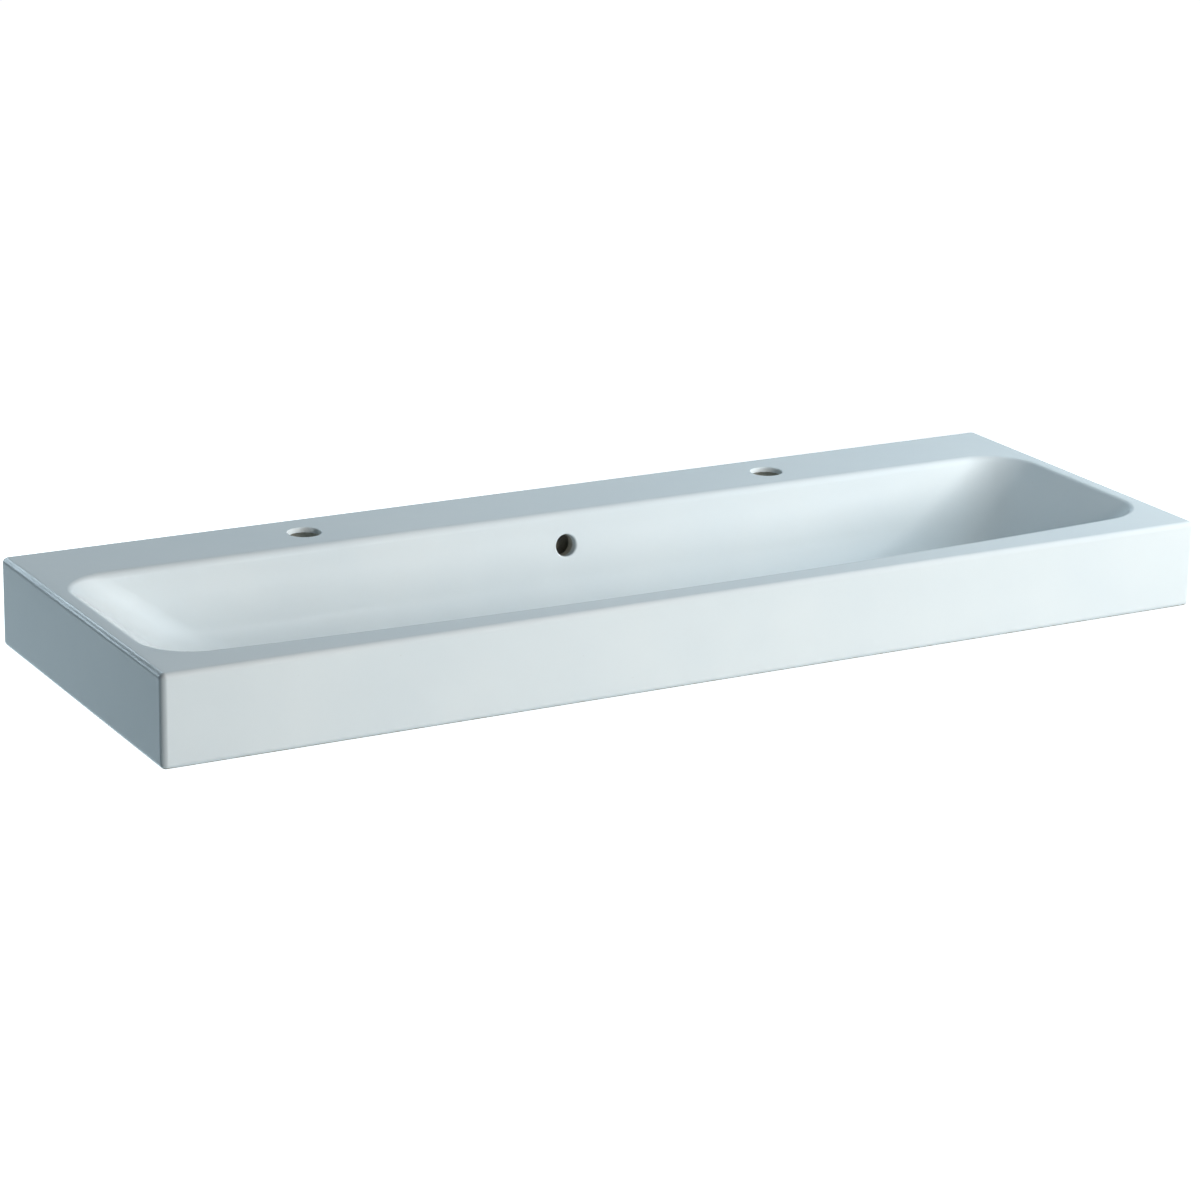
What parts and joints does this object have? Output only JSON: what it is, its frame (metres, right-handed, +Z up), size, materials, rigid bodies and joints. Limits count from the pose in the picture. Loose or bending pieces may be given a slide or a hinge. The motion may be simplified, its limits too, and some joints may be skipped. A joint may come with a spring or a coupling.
{
  "type": "hand basin",
  "caption": "Wide wall-hung ceramic hand basin: rounded box with a long shallow bowl, a rear ledge with tap holes, an overflow, a push-open waste plug and wall studs.",
  "frame": {"origin": "middle of the basin on the wall plane, at the level of the wall studs", "axes": "+X to the right seen from the front, +Y into the wall, +Z up; the front face looks along -Y"},
  "size_m": [1.2, 0.49, 0.1695],
  "materials": {
    "glazed_ceramic": "glossy white glaze",
    "chromed_brass": "polished chrome plate",
    "raw_brass": "machined brass",
    "black_rubber": "moulded rubber",
    "white_plastic": "natural nylon",
    "grey_plastic": "moulded acetal",
    "stainless_steel": "drawn stainless steel",
    "zinc_plated_steel": "bright zinc plate"
  },
  "bodies": {
    "basin": {"basin_body": "glazed_ceramic", "waste_body": "chromed_brass", "waste_flange_seal": "black_rubber", "waste_lower_seal": "black_rubber", "waste_slip_washer": "white_plastic", "waste_backnut": "raw_brass", "push_barrel": "grey_plastic", "push_barrel_cap": "grey_plastic", "push_spring": "stainless_steel", "wall_studs": "zinc_plated_steel", "wall_bushes": "white_plastic", "wall_washers": "zinc_plated_steel", "wall_nuts": "zinc_plated_steel"},
    "plug": {"plug_cap": "chromed_brass", "plug_carrier": "grey_plastic", "plug_seal": "black_rubber", "plug_stem": "stainless_steel"}
  },
  "joints": [
    {"name": "plug_lift", "type": "slide", "parent": "basin", "child": "plug", "axis": [0, 0, 1], "range_m": [0, 0.008], "deforming": ["push_spring"]}
  ]
}
